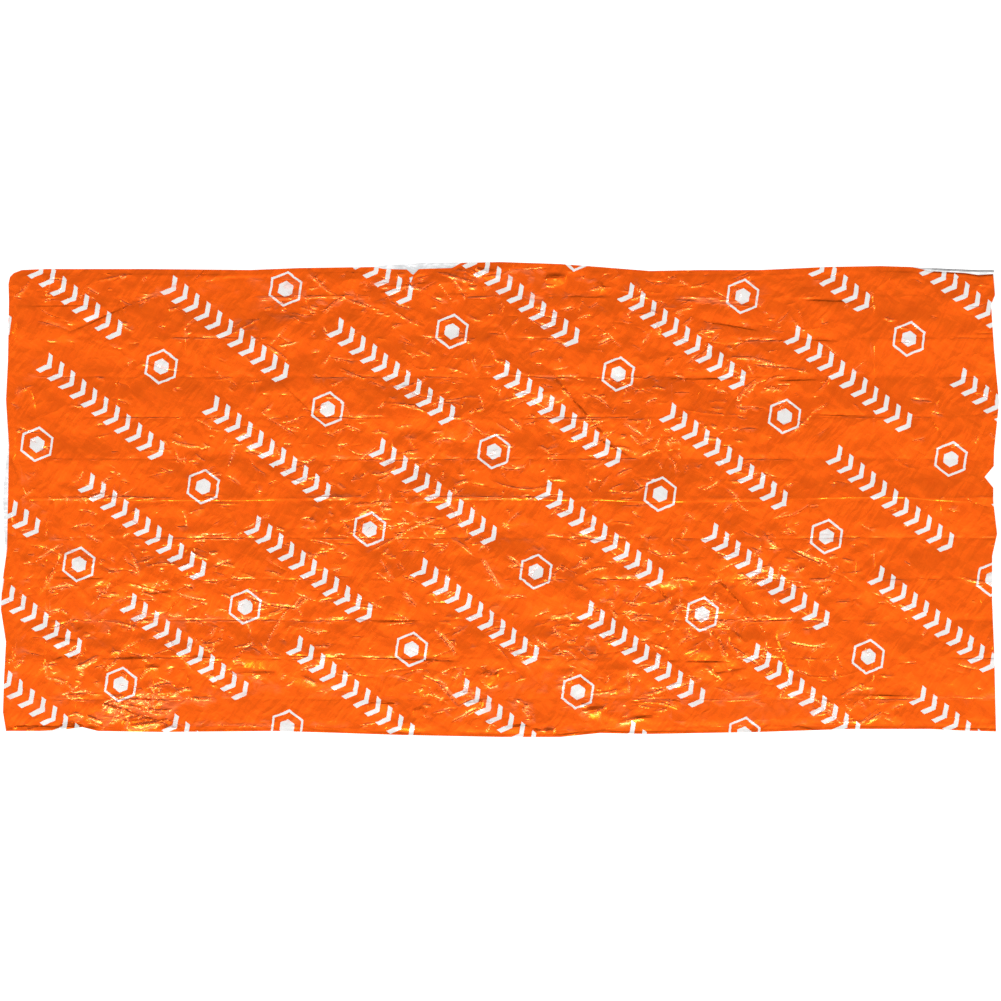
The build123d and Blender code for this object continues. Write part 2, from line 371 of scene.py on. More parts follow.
def coons(rear, front, foot, mouth):
    """The outline's patch: a function of the shares from_foot and from_front of a film's grid."""

    def edge(points, main, share):
        """The place at that share of an edge, measured along its main axis."""
        line = np.array(points, float)
        other = 1 - main
        place = line[0, main] + (line[-1, main] - line[0, main]) * share
        order = np.argsort(line[:, main])
        value = np.interp(place, line[order, main], line[order, other])
        return (place, value) if main == 0 else (value, place)

    def patch(s, t):
        edges = edge(rear, 0, s), edge(front, 0, s), edge(foot[::-1], 1, t), edge(mouth[::-1], 1, t)
        pixels = []
        for axis in (0, 1):
            rear_side, front_side, foot_end, mouth_end = (side[axis] for side in edges)
            low = front[0][axis] * (1 - s) + front[-1][axis] * s
            high = rear[0][axis] * (1 - s) + rear[-1][axis] * s
            corners = low * (1 - t) + high * t
            sides = front_side * (1 - t) + rear_side * t + foot_end * (1 - s) + mouth_end * s
            pixels.append(sides - corners)
        px, py = pixels
        middle, half, depth = NICK
        cut = depth * np.clip(1 - np.abs(py - middle) / half, 0, 1)
        return on_ground(px - cut * ramp(s, NICK_START, 1), py)

    return patch


def looseness(film):
    """How free each point is of the welded edges: about 0 on a weld and 1 beyond its rising margin."""
    from_sides = np.minimum(film.from_front, 1 - film.from_front) * film.width
    from_edge = np.minimum(film.from_foot * film.length, from_sides)
    return np.clip((from_edge - SEAL_WIDTH) / RISING_MARGIN, LEAST_LOOSE, 1)


def rear_hem(film):
    """The loose hem along the rear edge near the mouth, which drops sharply at the edge itself."""
    from_edge = (1 - film.from_front) * film.width
    near_mouth = ramp(film.from_foot, HEM_START, HEM_FULL)
    drop = np.clip(from_edge / HEM_DROP, 0, 1)
    return HEM_RISE * near_mouth * drop * np.clip(1 - from_edge / HEM_WIDTH, 0, 1)


def weld_groove(film):
    """The pinched line along the inner side of the front weld, which comes and goes."""
    depth = np.clip(0.55 + 0.7 * film.noise(90 * MM, seed=520), 0, 1.2)
    from_weld = film.from_front * film.width - 0.75 * SEAL_WIDTH
    lit, steep = (reach(GROOVE, angle) for angle in GROOVE_ANGLES)
    return depth * pleat(from_weld, -GROOVE, lit, steep)


def tilted_panels(x, y, lines_x, lines_y, rng):
    """Heights from about -1.4 to 1.4 of the panels between the folds, each of two flat triangles."""
    ends_x = np.array([-BEYOND[0], *lines_x, BEYOND[0]])
    ends_y = np.array([-BEYOND[1], *lines_y, BEYOND[1]])
    heights = rng.uniform(-1, 1, (len(ends_x), len(ends_y)))
    heights += np.where(np.arange(len(ends_y)) % 2 == 0, 0.4, -0.4)
    i = np.clip(np.searchsorted(ends_x, x) - 1, 0, len(ends_x) - 2)
    j = np.clip(np.searchsorted(ends_y, y) - 1, 0, len(ends_y) - 2)
    s = (x - ends_x[i]) / (ends_x[i + 1] - ends_x[i])
    t = (y - ends_y[j]) / (ends_y[j + 1] - ends_y[j])
    return falling_cell(heights[i, j], heights[i + 1, j], heights[i, j + 1], heights[i + 1, j + 1], s, t)


def fold(film, amount):
    """The grid of folds: panels that tilt a little, and sharp broken pleats between them."""
    lines_x = sorted(on_ground(px, 0)[0] for px in FOLD_COLUMNS)
    lines_y = sorted(on_ground(0, py)[1] for py in FOLD_ROWS)
    rng = np.random.default_rng(FOLD_SEED)
    x, y = film.x, film.y
    here = crumpling(x, y)
    panels = tilted_panels(x, y, lines_x, lines_y, rng)
    film.z += amount * PANEL_TILT * from_least(0.45, here) * panels
    for number, line in enumerate(lines_y):
        wandering = line + FOLD_WANDER * film.noise(70 * MM, seed=300 + number)
        rise = -FOLD_HEIGHT if rng.random() < FOLD_VALLEYS else FOLD_HEIGHT
        coarse, fine = film.noise(150 * MM, seed=310 + number), film.noise(18 * MM, seed=320 + number)
        strength = from_least(0.1, here) * (0.3 + 0.9 * coarse + 0.6 * fine)
        gentler = np.clip(1.5 + 1.7 * film.noise(110 * MM, seed=330 + number), 1, 3)
        lit, steep = (reach(rise, angle) for angle in FOLD_ANGLES)
        film.z += amount * np.clip(strength, 0.1, 1.2) * pleat(y - wandering, rise, gentler * lit, steep)
    for number, line in enumerate(lines_x):
        wandering = line + CROSS_FOLD_WANDER * film.noise(60 * MM, seed=340 + number)
        strength = np.clip(0.3 + 0.8 * film.noise(40 * MM, seed=360 + number), 0, 2)
        ridge = tent(x - wandering, CROSS_FOLD_REACH, CROSS_FOLD_REACH)
        film.z += amount * CROSS_FOLD_HEIGHT * strength * ridge


def crumple(film, amount, seed):
    """Facets in four sizes, the smaller ones more and more where the film is most crumpled."""
    x, y = film.x, film.y
    here = crumpling(x, y)
    patchy = np.clip(0.5 + 1.1 * film.noise(70 * MM, seed=seed + 40), 0.1, 1.25)
    sizes = (  # height, length and width in mm, turn, and strength
        (1.8, 120, 70, 0.1, from_least(0.35, here)),
        (1.25, 52, 30, -0.5, here),
        (0.95, 32, 20, 0.6, here**1.5 * patchy),
        (0.4, 15, 10, -0.7, here**2 * patchy),
    )
    for number, (height, length, width, turn, strength) in enumerate(sizes):
        relief = facets(x, y, length * MM, width * MM, turn, seed + 10 * number)
        film.z += amount * height * MM * strength * relief


def short_creases(film, amount, count, seed):
    """Many short sharp creases, most of them where the film is most crumpled."""
    rng = np.random.default_rng(seed)
    made = 0
    while made < count:
        cx, cy = rng.uniform(-0.5, 0.5) * film.length, rng.uniform(-0.5, 0.5) * film.width
        here = float(crumpling(np.array([cx]), np.array([cy]))[0])
        if rng.random() > (here / MOST_CRUMPLED) ** CROWDING:
            continue
        made += 1
        turn = rng.normal(0, SMALL_TURN) if rng.random() < ALONG_SHARE else rng.uniform(-ANY_TURN, ANY_TURN)
        length = min(rng.lognormal(math.log(USUAL_LENGTH), LENGTH_SPREAD), LONGEST) * MM
        height = amount * rng.uniform(*SHORT_HEIGHTS) * from_least(0.4, here) * MM
        rise = -height if rng.random() < VALLEY_SHARE else height
        lit, steep = (reach(rise, rng.uniform(*angles)) for angles in (LIT_ANGLES, OTHER_ANGLES))
        dx, dy = math.cos(turn) * length / 2, math.sin(turn) * length / 2
        bend = rng.uniform(-MOST_BEND, MOST_BEND)
        film.crease((cx - dx, cy - dy), (cx + dx, cy + dy), rise, lit, steep, bend)


def named_creases(film, *kinds):
    """Adds the single creases of those kinds."""
    for x0, y0, x1, y1, height, kind in CREASES:
        if kind in kinds:
            factor, *angles = KINDS[kind]
            rise = height * (factor * MM)
            lit, steep = (reach(rise, angle) for angle in angles)
            film.crease(on_ground(x0, y0), on_ground(x1, y1), rise, lit, steep)


def strain_and_highlight_from_slope(film):
    """From 0 to 1, how far the lacquer is stretched at each point, worked out from the film's slope; the same
    mask paints the lacquer paler there, partly as a painted highlight.
    """
    along = np.gradient(film.z, axis=1) / np.gradient(film.x, axis=1)
    across = np.gradient(film.z, axis=0) / np.gradient(film.y, axis=0)
    slope = np.hypot(along, across)
    starts, full, fades, gone = STRAIN_AND_HIGHLIGHT_SLOPES
    return ramp(slope, starts, full) * (1 - ramp(slope, fades, gone))


def upper_film():
    """The upper film, which arches between the welds and climbs from the foot to wavy lips.

    The dark creases come after the stretch is read, so that the paler lacquer, a painted highlight, stays off
    them and their lacquer stays deep.
    """
    film = Film(FINE_STEPS, coons(REAR_EDGE, FRONT_EDGE, FOOT_EDGE, MOUTH_EDGE))
    fold(film, amount=1.0)
    crumple(film, amount=1.06, seed=UPPER_SEED)
    loose = looseness(film)
    film.z *= loose
    short_creases(film, amount=1.0, count=SHORT_CREASES, seed=UPPER_SEED)
    film.z *= from_least(0.5, np.clip(3 * loose, 0, 1))
    named_creases(film, LIT, RAISED)
    film.strain_and_highlight = strain_and_highlight_from_slope(film)
    named_creases(film, DARK, SHADED)
    arch = 1 - np.abs(2 * film.from_front - 1) ** 3
    climb = 1 - (1 - np.clip(film.from_foot / CLIMB, 0, 1)) ** 2
    level = LOFT + (LIP_LOFT - LOFT) * ramp(film.from_foot, LIP_START, 1)
    wave = LIP_WAVE * ramp(film.from_foot, WAVE_START, 1) * film.noise(110 * MM, seed=500)
    uneven = 0.5 + 0.5 * film.noise(60 * MM, seed=510)
    shoulder = SHOULDER * (film.from_front > 0.5) * uneven * np.minimum(4 * loose, 1)
    film.z += shoulder + (level + wave) * arch * climb + weld_groove(film)
    film.z = np.maximum(film.z, LOWEST_VALLEY) + UPPER_LEVEL + rear_hem(film)
    film.strain_and_highlight = np.minimum(film.strain_and_highlight, strain_and_highlight_from_slope(film))  # because some valleys are now cut off level
    return film


def lower_film():
    """The lower film, which lies on the ground with weaker creases than the upper one."""
    film = Film(COARSE_STEPS, coons(REAR_EDGE_BELOW, FRONT_EDGE, FOOT_EDGE_BELOW, MOUTH_EDGE_BELOW))
    fold(film, amount=0.3)
    crumple(film, amount=0.2, seed=LOWER_SEED)
    short_creases(film, amount=0.25, count=SHORT_CREASES // 4, seed=LOWER_SEED)
    film.strain_and_highlight = strain_and_highlight_from_slope(film)
    film.z = (film.z - film.z.min()) * looseness(film) + rear_hem(film)
    return film


def lift_off(upper, lower, gap):
    """Raises the upper film wherever it comes nearer than gap to the lower one."""
    rows, columns = lower.z.shape
    i, j = upper.from_front * (rows - 1), upper.from_foot * (columns - 1)
    i0, j0 = np.minimum(i.astype(int), rows - 2), np.minimum(j.astype(int), columns - 2)
    a, b = i - i0, j - j0
    near = lower.z[i0, j0] * (1 - b) + lower.z[i0, j0 + 1] * b
    far = lower.z[i0 + 1, j0] * (1 - b) + lower.z[i0 + 1, j0 + 1] * b
    upper.z = np.maximum(upper.z, near * (1 - a) + far * a + gap)


# ---------------------------------------------------------------- meshes


def add_object(name, data):
    """A new object in the scene, made of that mesh, lamp or camera."""
    item = bpy.data.objects.new(name, data)
    bpy.context.scene.collection.objects.link(item)
    return item


def grid_mesh(name, film):
    """The film's grid as a mesh, with its flat coordinates as a UV map, in metres, and its mask of stretched
    lacquer and painted highlight.
    """
    rows, columns = film.x.shape
    points = np.stack([film.x, film.y, film.z], axis=-1).reshape(-1, 3)
    index = np.arange(rows * columns).reshape(rows, columns)
    quads = np.stack([index[:-1, :-1], index[:-1, 1:], index[1:, 1:], index[1:, :-1]], axis=-1).reshape(-1, 4)
    mesh = bpy.data.meshes.new(name)
    mesh.vertices.add(len(points))
    mesh.vertices.foreach_set("co", points.astype(np.float32).ravel())
    mesh.loops.add(quads.size)
    mesh.loops.foreach_set("vertex_index", quads.astype(np.int32).ravel())
    mesh.polygons.add(len(quads))
    mesh.polygons.foreach_set("loop_start", np.arange(0, quads.size, 4, dtype=np.int32))
    mesh.update(calc_edges=True)
    layer = mesh.uv_layers.new(name="flat")
    layer.data.foreach_set("uv", points[quads.ravel(), :2].astype(np.float32).ravel())
    strain_and_highlight = mesh.attributes.new("strain_and_highlight", "FLOAT", "POINT")
    strain_and_highlight.data.foreach_set("value", film.strain_and_highlight.astype(np.float32).ravel())
    return mesh


def apply_modifiers(piece):
    bpy.context.view_layer.update()
    evaluated = piece.evaluated_get(bpy.context.evaluated_depsgraph_get())
    mesh = bpy.data.meshes.new_from_object(evaluated)
    piece.modifiers.clear()
    piece.data = mesh


def finish_mesh(piece, material):
    piece.data.materials.clear()
    piece.data.materials.append(material)
    piece.data.polygons.foreach_set("use_smooth", [True] * len(piece.data.polygons))
    piece.data.set_sharp_from_angle(angle=math.radians(SHARP_ANGLE))


def film_piece(name, film, faces, material):
    """The film as a mesh of about that many triangles, dense only where it is creased."""
    mesh = grid_mesh(name, film)
    piece = add_object(name, mesh)
    thin = piece.modifiers.new("thin", "DECIMATE")
    thin.ratio = min(1.0, faces / (2 * len(mesh.polygons)))
    apply_modifiers(piece)
    finish_mesh(piece, material)
    return piece


def lining_piece(name, film, depth, material):
    """A copy of a film piece, moved by depth against the film's normals and turned over."""
    mesh = film.data.copy()
    count = len(mesh.vertices)
    points, normals = np.empty(count * 3, np.float32), np.empty(count * 3, np.float32)
    mesh.vertices.foreach_get("co", points)
    mesh.vertex_normals.foreach_get("vector", normals)
    mesh.vertices.foreach_set("co", points - depth * normals)
    mesh.flip_normals()
    mesh.update()
    piece = add_object(name, mesh)
    finish_mesh(piece, material)
    return piece


def weld_strip(name, path, inward, material):
    """A thin closed strip beside a path of points, SEAL_WIDTH wide towards inward."""
    points, faces = [], []
    for x, y in path:
        for offset in (WELD_MARGIN, WELD_MARGIN + SEAL_WIDTH):
            for z in (WELD_LEVEL, WELD_LEVEL + WELD_THICKNESS):
                points.append((x + inward[0] * offset, y + inward[1] * offset, z))
    for k in range(len(path) - 1):
        a, b = 4 * k, 4 * k + 4
        for first, second in ((0, 1), (1, 3), (3, 2), (2, 0)):
            faces.append((a + first, a + second, b + second, b + first))
    last = 4 * (len(path) - 1)
    faces.append((0, 2, 3, 1))
    faces.append((last, last + 1, last + 3, last + 2))
    mesh = bpy.data.meshes.new(name)
    mesh.from_pydata(points, [], faces)
    mesh.materials.append(material)
    return add_object(name, mesh)


# ---------------------------------------------------------------- materials


class Nodes:
    """Short ways to add nodes to a node tree."""

    def __init__(self, tree):
        self.tree = tree

    def put(self, value, socket):
        """Sets a socket to a plain value, or links a node's output to it."""
        if isinstance(value, bpy.types.NodeSocket):
            self.tree.links.new(value, socket)
        else:
            socket.default_value = value

    def node(self, kind, **settings):
        node = self.tree.nodes.new(kind)
        for key, value in settings.items():
            setattr(node, key, value)
        return node

    def math(self, operation, first, second=0.0):
        node = self.node("ShaderNodeMath", operation=operation)
        self.put(first, node.inputs[0])
        self.put(second, node.inputs[1])
        return node.outputs[0]

    def noise(self, vector, scale, detail, roughness=0.5):
        """A noise node, whose outputs are Fac and Color."""
        node = self.node("ShaderNodeTexNoise")
        self.put(vector, node.inputs["Vector"])
        self.put(scale, node.inputs["Scale"])
        self.put(detail, node.inputs["Detail"])
        self.put(roughness, node.inputs["Roughness"])
        return node.outputs

    def stretched(self, vector, size, turn):
        """The vector for a pattern made size times as large and turned by turn radians."""
        node = self.node("ShaderNodeMapping", vector_type="TEXTURE")
        self.put(size, node.inputs["Scale"])
        self.put((0, 0, turn), node.inputs["Rotation"])
        self.put(vector, node.inputs["Vector"])
        return node.outputs[0]

    def facets(self, vector, scale, detail):
        """Small crumpled facets that meet in sharp lines."""
        node = self.node("ShaderNodeTexVoronoi", feature="F1", distance="MANHATTAN")
        self.put(vector, node.inputs["Vector"])
        self.put(scale, node.inputs["Scale"])
        self.put(detail, node.inputs["Detail"])
        self.put(0.5, node.inputs["Roughness"])
        return node.outputs["Distance"]

    def mixed(self, factor, first, second):
        """A colour between two colours, each a tuple or a node's output."""
        mix = self.node("ShaderNodeMix", data_type="RGBA")
        self.put(factor, mix.inputs[0])
        for value, socket in ((first, mix.inputs[6]), (second, mix.inputs[7])):
            self.put((*value, 1) if isinstance(value, tuple) else value, socket)
        return mix.outputs[2]


class MaterialNodes(Nodes):
    """The nodes of a new material, and its shader."""

    def __init__(self, name):
        self.material = bpy.data.materials.new(name)
        self.material.use_nodes = True
        super().__init__(self.material.node_tree)
        self.shader = self.tree.nodes["Principled BSDF"]

    def set(self, name, value):
        """Sets or links one of the shader's inputs."""
        self.put(value, self.shader.inputs[name])


# ---- The print: rows of chevrons and hexagons that fall to the right, in metres ----
ROW_TURN = math.radians(38)
ROW_PITCH = 0.146
PERIOD = 0.56  # along a row, from one group of chevrons to the next
ROW_SHIFT = 0.405  # share of the period by which each row is shifted against the last
BAND_HEIGHT = 0.046
CHEVRON_PITCH = 0.030
CHEVRONS = 11
CHEVRON_SHARE = 0.36  # of each pitch that is white
CHEVRON_SLANT = 0.55
BAND_MIDDLE = -0.065
HEXAGON_MIDDLE = 0.205
HEXAGON_RADIUS = 0.033
HEXAGON_LINE = 0.0045
HEXAGON_CORE = 0.015


def print_mask(nodes, flat):
    """1 where the film is printed white."""
    math_node = nodes.math
    turn = nodes.node("ShaderNodeMapping")
    nodes.put((0, 0, ROW_TURN), turn.inputs["Rotation"])
    nodes.put(flat, turn.inputs["Vector"])
    split = nodes.node("ShaderNodeSeparateXYZ")
    nodes.put(turn.outputs[0], split.inputs[0])
    along, across = split.outputs[0], split.outputs[1]
    row = math_node("FLOOR", math_node("DIVIDE", across, ROW_PITCH))
    row_middle = math_node("MULTIPLY", math_node("ADD", row, 0.5), ROW_PITCH)
    off_row = math_node("ABSOLUTE", math_node("SUBTRACT", across, row_middle))
    shifted = math_node("ADD", along, math_node("MULTIPLY", row, ROW_SHIFT * PERIOD))
    place = math_node("SUBTRACT", math_node("FLOORED_MODULO", shifted, PERIOD), PERIOD / 2)

    slanted = math_node("MULTIPLY", off_row, CHEVRON_SLANT)
    bent = math_node("ADD", math_node("SUBTRACT", place, BAND_MIDDLE), slanted)
    in_height = math_node("LESS_THAN", off_row, BAND_HEIGHT / 2)
    in_length = math_node("LESS_THAN", math_node("ABSOLUTE", bent), CHEVRONS * CHEVRON_PITCH / 2)
    part_of_pitch = math_node("FRACT", math_node("DIVIDE", bent, CHEVRON_PITCH))
    stroke = math_node("LESS_THAN", part_of_pitch, CHEVRON_SHARE)
    chevrons = math_node("MULTIPLY", math_node("MULTIPLY", in_height, in_length), stroke)

    from_middle = math_node("ABSOLUTE", math_node("SUBTRACT", place, HEXAGON_MIDDLE))
    to_slanting_side = math_node(
        "ADD", math_node("MULTIPLY", from_middle, math.sqrt(0.75)), math_node("MULTIPLY", off_row, 0.5)
    )
    radius = math_node("MAXIMUM", to_slanting_side, off_row)
    inside = math_node("LESS_THAN", radius, HEXAGON_RADIUS)
    outside_hole = math_node("GREATER_THAN", radius, HEXAGON_RADIUS - HEXAGON_LINE)
    ring = math_node("MULTIPLY", inside, outside_hole)
    core = math_node("LESS_THAN", radius, HEXAGON_CORE)
    return math_node("MAXIMUM", chevrons, math_node("MAXIMUM", ring, core))


# ---- Relief too faint for the mesh: size each way, turn, scale, detail, and height in mm ----
FACET_RELIEF = ((1.5, 0.8, 1.0), 1.1, 24.0, 1.0, 2.2)
STROKE_RELIEF = ((3.0, 0.9, 1.0), -1.0, 30.0, 0.0, 0.8)
STRAIN_RELIEF = ((2.0, 1.0, 1.0), 0.0, 105.0, 0.0, 1.3)
WAVER = (0.03, 0.03, 0)  # how far the relief's lines bend
WAVER_SCALE = 14.0


def foil_bump(nodes, flat, strain_and_highlight, strength):
    """Faint facets and slanting strokes all over, and fine facets where the film is stretched."""
    waver = nodes.node("ShaderNodeVectorMath", operation="MULTIPLY_ADD")
    nodes.put(nodes.noise(flat, WAVER_SCALE, detail=0.0)["Color"], waver.inputs[0])
    nodes.put(WAVER, waver.inputs[1])
    nodes.put(flat, waver.inputs[2])

    def relief(size, turn, scale, detail, height):
        vector = nodes.stretched(waver.outputs[0], size, turn)
        return nodes.math("MULTIPLY", nodes.facets(vector, scale, detail), height)

    broad = nodes.math("ADD", relief(*FACET_RELIEF), relief(*STROKE_RELIEF))
    fine = nodes.math("MULTIPLY", strain_and_highlight, relief(*STRAIN_RELIEF))
    bump = nodes.node("ShaderNodeBump")
    nodes.put(strength, bump.inputs["Strength"])
    nodes.put(1.0 * MM, bump.inputs["Distance"])
    nodes.put(nodes.math("ADD", broad, fine), bump.inputs["Height"])
    nodes.set("Normal", bump.outputs[0])
    return bump.outputs[0]


def foil_roughness(nodes, flat, low, high):
    spread = nodes.node("ShaderNodeMapRange")
    nodes.put(nodes.noise(flat, scale=14.0, detail=4.0, roughness=0.6)["Fac"], spread.inputs["Value"])
    for name, value in (("From Min", 0.3), ("From Max", 0.7), ("To Min", low), ("To Max", high)):
        nodes.put(value, spread.inputs[name])
    nodes.set("Roughness", spread.outputs[0])


ORANGE = (0.965, 0.107, 0.0035)
ORANGE_THIN = (0.975, 0.131, 0.0037)
# The third orange is paler lacquer on sloping flanks: partly strained lacquer, partly a painted highlight.
ORANGE_STRAINED_HIGHLIGHT = (0.975, 0.142, 0.014)
EDGE_TINT = (1.0, 0.48, 0.25)  # of the metal seen at a slant
WHITE_INK = (0.98, 0.97, 0.955)
WHITE_INK_METAL = 0.22  # how metallic the white still is, with the foil under it
INK_CRACKING_AND_HIGHLIGHT = 0.45  # how much of the white goes where the film is strained, partly cracked ink and partly a painted highlight
ORANGE_ROUGHNESS = (0.14, 0.21)
ORANGE_BUMP = 0.4
GLOSS, GLOSS_ON_STRAIN_AND_HIGHLIGHT = 0.1, 0.67  # weight of the clear coat, and what the strain adds to it, where the lacquer is also painted paler as a highlight
GLOSS_ROUGHNESS = 0.08


def orange_foil():
    """Metallised film under a transparent orange lacquer, printed in white."""
    nodes = MaterialNodes("orange_foil")
    flat = nodes.node("ShaderNodeUVMap", uv_map="flat").outputs[0]
    strain_and_highlight = nodes.node("ShaderNodeAttribute", attribute_name="strain_and_highlight").outputs["Fac"]
    # Where the mask is high the white ink gives way to orange foil: partly cracked ink, partly a painted
    # highlight.
    whole = nodes.math("SUBTRACT", 1.0, nodes.math("MULTIPLY", strain_and_highlight, INK_CRACKING_AND_HIGHLIGHT))
    printed = nodes.math("MULTIPLY", print_mask(nodes, flat), whole)
    covered = nodes.math("MULTIPLY", printed, 1 - WHITE_INK_METAL)
    nodes.set("Metallic", nodes.math("SUBTRACT", 1.0, covered))
    nodes.set("Specular Tint", (*EDGE_TINT, 1))
    uneven = nodes.noise(flat, scale=30.0, detail=3.0, roughness=0.6)["Fac"]
    lacquer = nodes.mixed(uneven, ORANGE, ORANGE_THIN)
    # Paler lacquer where the mask is high: partly strained lacquer, partly a painted highlight.
    lacquer = nodes.mixed(strain_and_highlight, lacquer, ORANGE_STRAINED_HIGHLIGHT)
    nodes.set("Base Color", nodes.mixed(printed, lacquer, WHITE_INK))
    foil_roughness(nodes, flat, *ORANGE_ROUGHNESS)
    normal = foil_bump(nodes, flat, strain_and_highlight, ORANGE_BUMP)
    nodes.set("Coat Weight", nodes.math("ADD", GLOSS, nodes.math("MULTIPLY", strain_and_highlight, GLOSS_ON_STRAIN_AND_HIGHLIGHT)))
    nodes.set("Coat Roughness", GLOSS_ROUGHNESS)
    nodes.set("Coat Normal", normal)
    return nodes.material


SILVER_DULL, SILVER_BRIGHT = (0.86, 0.87, 0.88), (0.95, 0.95, 0.95)
SILVER_ROUGHNESS = (0.14, 0.24)
SILVER_BUMP = 0.35
SILVER_STRAIN = 0.5  # the same all over, because the lining has no lacquer to strain


def silver_foil():
    """The bright aluminised lining."""
    nodes = MaterialNodes("silver_foil")
    flat = nodes.node("ShaderNodeUVMap", uv_map="flat").outputs[0]
    nodes.set("Metallic", 1.0)
    cloudy = nodes.noise(flat, scale=22.0, detail=3.0, roughness=0.6)["Fac"]
    nodes.set("Base Color", nodes.mixed(cloudy, SILVER_DULL, SILVER_BRIGHT))
    foil_roughness(nodes, flat, *SILVER_ROUGHNESS)
    foil_bump(nodes, flat, SILVER_STRAIN, SILVER_BUMP)
    return nodes.material


def weld_film():
    """Heat-sealing film, milky where it melted."""
    nodes = MaterialNodes("weld_film")
    nodes.set("Base Color", (0.72, 0.70, 0.66, 1))
    nodes.set("Roughness", 0.3)
    return nodes.material


# ---------------------------------------------------------------- the stage

FLOOR_HALF = 12.0
FLOOR_COLOUR = (0.9, 0.9, 0.9, 1)
FLOOR_GLOW = 0.62  # the floor's own light, which only the camera and gloss see
LAMP_DISTANCE = 14.0
KEY_TILT, KEY_BEARING = 30, 270  # in degrees from overhead, and towards the front
LAMPS = [  # name, tilt, bearing, size both ways, and radiance
    ("key_softbox", KEY_TILT, KEY_BEARING, 9.0, 1.6, 10),
    ("foot_softbox", 32, 180, 6.0, 1.2, 9),
    ("mouth_softbox", 32, 0, 6.0, 1.2, 9),
]

# ---- The tent that gloss sees: how bright it is at each height, from the horizon to overhead ----
TENT_LEVELS = [
    (0.0, 0.72), (0.15, 0.74), (0.3, 0.73), (0.5, 0.74), (0.64, 0.78), (0.78, 0.8), (0.9, 0.77), (1.0, 0.72)
]  # fmt: skip
DIFFUSE_LEVEL = 0.5  # the world's light on what isn't glossy
# ---- Soft round spots on the tent: tilt, bearing and strength, which is below 0 for a grey flag. The
# ---- higher the power, the smaller the spot.
GLOWS, GLOW_POWER = [(KEY_TILT + 2, KEY_BEARING, 1.2)], 10
FLAGS, FLAG_POWER = [(46, 90, -0.6), (46, 40, -0.64), (46, 140, -0.62)], 19
PANELS = [(60, 202, 0.45), (60, 292, 0.4), (60, 22, 0.45), (68, 138, 0.35), (77, 90, 0.28)]
PANEL_POWER = 9


def make_floor():
    """A pale floor, white to the camera and in reflections, that keeps the sack's shadow."""
    mesh = bpy.data.meshes.new("floor")
    corners = [(x * FLOOR_HALF, y * FLOOR_HALF, 0) for x, y in ((-1, -1), (1, -1), (1, 1), (-1, 1))]
    mesh.from_pydata(corners, [], [(0, 1, 2, 3)])
    floor = add_object("floor", mesh)
    nodes = MaterialNodes("floor")
    nodes.set("Base Color", FLOOR_COLOUR)
    nodes.set("Roughness", 0.9)
    nodes.set("Specular IOR Level", 0.0)
    rays = nodes.node("ShaderNodeLightPath").outputs
    bounced = nodes.math("MAXIMUM", rays["Is Glossy Ray"], rays["Is Transmission Ray"])
    seen = nodes.math("MAXIMUM", rays["Is Camera Ray"], bounced)
    glow = nodes.node("ShaderNodeEmission")
    nodes.put(nodes.math("MULTIPLY", seen, FLOOR_GLOW), glow.inputs["Strength"])
    both = nodes.node("ShaderNodeAddShader")
    nodes.put(nodes.shader.outputs[0], both.inputs[0])
    nodes.put(glow.outputs[0], both.inputs[1])
    nodes.put(both.outputs[0], nodes.tree.nodes["Material Output"].inputs["Surface"])
    mesh.materials.append(nodes.material)


def direction(tilt, bearing):
    """The unit vector tilt degrees from overhead towards bearing, where 0 is +X and 90 is +Y."""
    tilt, bearing = math.radians(tilt), math.radians(bearing)
    return Vector((math.sin(tilt) * math.cos(bearing), math.sin(tilt) * math.sin(bearing), math.cos(tilt)))


def blended(nodes, factor, first, second):
    """A number between two, each plain or a node's output."""
    mix = nodes.node("ShaderNodeMix")
    nodes.put(factor, mix.inputs[0])
    nodes.put(first, mix.inputs[2])
    nodes.put(second, mix.inputs[3])
    return mix.outputs[0]


def make_world():
    """White to the camera. Gloss sees a soft tent with a glow, grey flags and pale panels on it."""
    world = bpy.data.worlds.new("studio")
    bpy.context.scene.world = world
    world.use_nodes = True
    world.node_tree.nodes.clear()
    nodes = Nodes(world.node_tree)
    rays = nodes.node("ShaderNodeLightPath").outputs
    where = nodes.node("ShaderNodeTexCoord").outputs["Generated"]
    split = nodes.node("ShaderNodeSeparateXYZ")
    nodes.put(where, split.inputs[0])
    ramp_node = nodes.node("ShaderNodeValToRGB")
    nodes.put(split.outputs[2], ramp_node.inputs[0])
    stops = ramp_node.color_ramp.elements
    stops[0].position, stops[1].position = TENT_LEVELS[0][0], TENT_LEVELS[-1][0]
    for place, level in TENT_LEVELS[1:-1]:
        stops.new(place)
    for stop, (place, level) in zip(stops, TENT_LEVELS):
        stop.color = (level, level, level, 1)

    seen_by_gloss = ramp_node.outputs[0]
    for spots, power in ((GLOWS, GLOW_POWER), (FLAGS, FLAG_POWER), (PANELS, PANEL_POWER)):
        for tilt, bearing, strength in spots:
            towards = nodes.node("ShaderNodeVectorMath", operation="DOT_PRODUCT")
            nodes.put(where, towards.inputs[0])
            nodes.put(direction(tilt, bearing), towards.inputs[1])
            facing = nodes.math("MAXIMUM", towards.outputs["Value"], 0.0)
            spot = nodes.math("MULTIPLY", nodes.math("POWER", facing, power), strength)
            seen_by_gloss = nodes.math("ADD", seen_by_gloss, spot)
    gloss = nodes.math("MAXIMUM", rays["Is Glossy Ray"], rays["Is Transmission Ray"])
    level = blended(nodes, gloss, DIFFUSE_LEVEL, seen_by_gloss)
    light = nodes.node("ShaderNodeBackground")
    nodes.put((1, 1, 1, 1), light.inputs["Color"])
    nodes.put(blended(nodes, rays["Is Camera Ray"], level, 1.0), light.inputs["Strength"])
    out = nodes.node("ShaderNodeOutputWorld")
    nodes.put(light.outputs[0], out.inputs["Surface"])


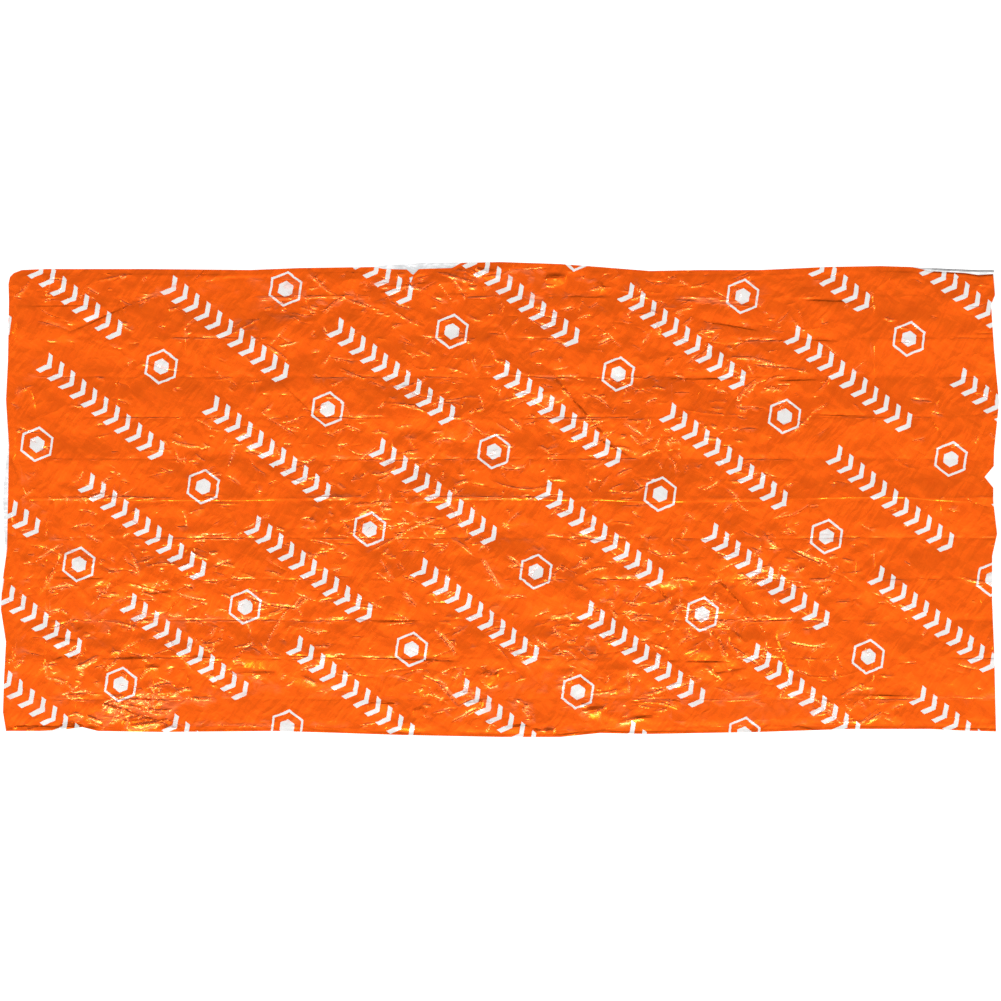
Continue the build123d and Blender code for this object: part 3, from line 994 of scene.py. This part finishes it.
def make_lamp(name, tilt, bearing, size_x, size_y, radiance):
    """A soft box of that radiance, aimed at the sack."""
    data = bpy.data.lights.new(name, "AREA")
    data.shape = "RECTANGLE"
    data.size, data.size_y = size_x, size_y
    data.energy = radiance * math.pi * size_x * size_y
    lamp = add_object(name, data)
    lamp.location = LAMP_DISTANCE * direction(tilt, bearing)
    lamp.rotation_euler = lamp.location.to_track_quat("Z", "Y").to_euler()


def make_camera():
    """A camera straight above the sack, whose view is as wide as the photograph's frame."""
    data = bpy.data.cameras.new("camera")
    camera = add_object("camera", data)
    data.sensor_width = SENSOR
    data.lens = SENSOR * CAMERA_HEIGHT / (FRAME_PIXELS * PIXEL)
    data.clip_end = 100.0
    camera.location = (0, 0, CAMERA_HEIGHT)
    bpy.context.scene.camera = camera


# ---------------------------------------------------------------- the scene

make_camera()
make_floor()
make_world()
for lamp in LAMPS:
    make_lamp(*lamp)
bpy.context.scene.view_settings.view_transform = "Standard"

upper, lower = upper_film(), lower_film()
lift_off(upper, lower, FILM_GAP)

orange, silver, milky = orange_foil(), silver_foil(), weld_film()
for side, film, faces, inward in (("upper", upper, UPPER_FACES, 1), ("lower", lower, LOWER_FACES, -1)):
    outer = film_piece(f"{side}_orange_film", film, faces, orange)
    lining = lining_piece(f"{side}_silver_lining", outer, inward * LINING_DEPTH, silver)
    if side == "lower":
        outer.data.flip_normals()
        lining.data.flip_normals()
    for piece, node, slot in (
        (outer, f"{side}_outer_film", "orange_film"),
        (lining, f"{side}_foil_lining", "foil_lining"),
    ):
        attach(piece, "root")
        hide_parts(node)

# The welds follow every fourth point of the upper film's edges.
rear_path = list(zip(upper.x[-1, ::4], upper.y[-1, ::4]))
front_path = list(zip(upper.x[0, ::4], upper.y[0, ::4]))
foot_path = list(zip(upper.x[::4, 0], upper.y[::4, 0]))
for place, path, inward in (
    ("rear_side", rear_path, (0, -1)),
    ("front_side", front_path, (0, 1)),
    ("foot", foot_path, (1, 0)),
):
    piece = weld_strip(f"{place}_weld", path, inward, milky)
    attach(piece, "root")
    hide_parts(f"{place}_seal")
